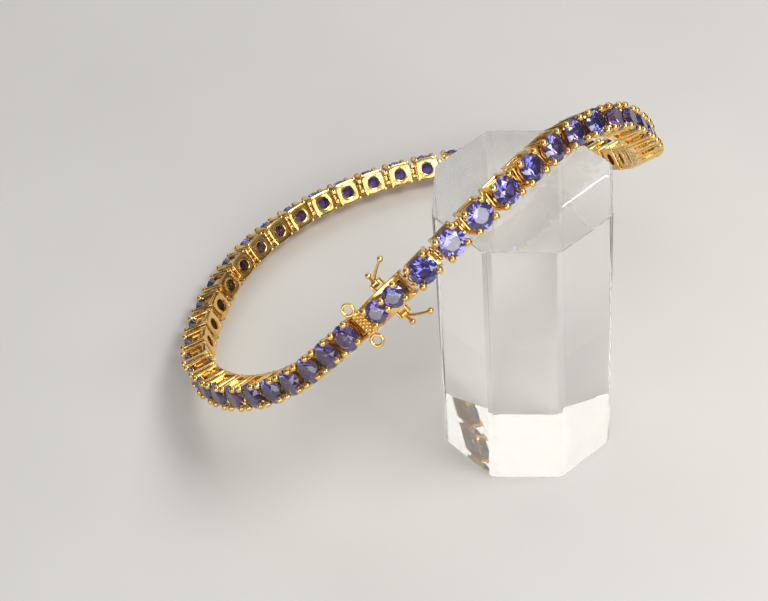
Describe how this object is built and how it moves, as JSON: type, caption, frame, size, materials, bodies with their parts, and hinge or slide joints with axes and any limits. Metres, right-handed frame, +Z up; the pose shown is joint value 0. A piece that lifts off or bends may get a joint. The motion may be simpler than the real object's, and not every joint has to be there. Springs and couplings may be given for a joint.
{
  "type": "tennis bracelet on an octagonal display block",
  "caption": "Gold line bracelet of round violet-blue stones in four-prong links with a box clasp and two safety catches, draped over a clear octagonal block.",
  "frame": {"origin": "centre of the bounding box at floor level, under the wrist hollow", "axes": "+Z up, +Y away from the viewer of the picture, +X to the viewer's right"},
  "size_m": [0.0564, 0.0552, 0.0405],
  "materials": {
    "gold": "polished yellow gold",
    "block": "clear polished acrylic"
  },
  "bodies": {
    "root": {"display_block": "block", "links_left": "gold", "links_right": "gold", "clasp_box": "gold", "clasp_tongue": "gold"},
    "lower_catch": {"safety_catch_lower": "gold"},
    "upper_catch": {"safety_catch_upper": "gold"}
  },
  "joints": [
    {"name": "lower_catch_swing", "type": "hinge", "parent": "root", "child": "lower_catch", "pos_m": [-0.00256, -0.02538, 0.02916], "axis": [-0.7182, -0.1186, -0.6856], "range_deg": [-35, 45]},
    {"name": "upper_catch_swing", "type": "hinge", "parent": "root", "child": "upper_catch", "pos_m": [-0.00518, -0.02321, 0.03152], "axis": [0.7182, 0.1186, 0.6856], "range_deg": [-35, 45]}
  ]
}
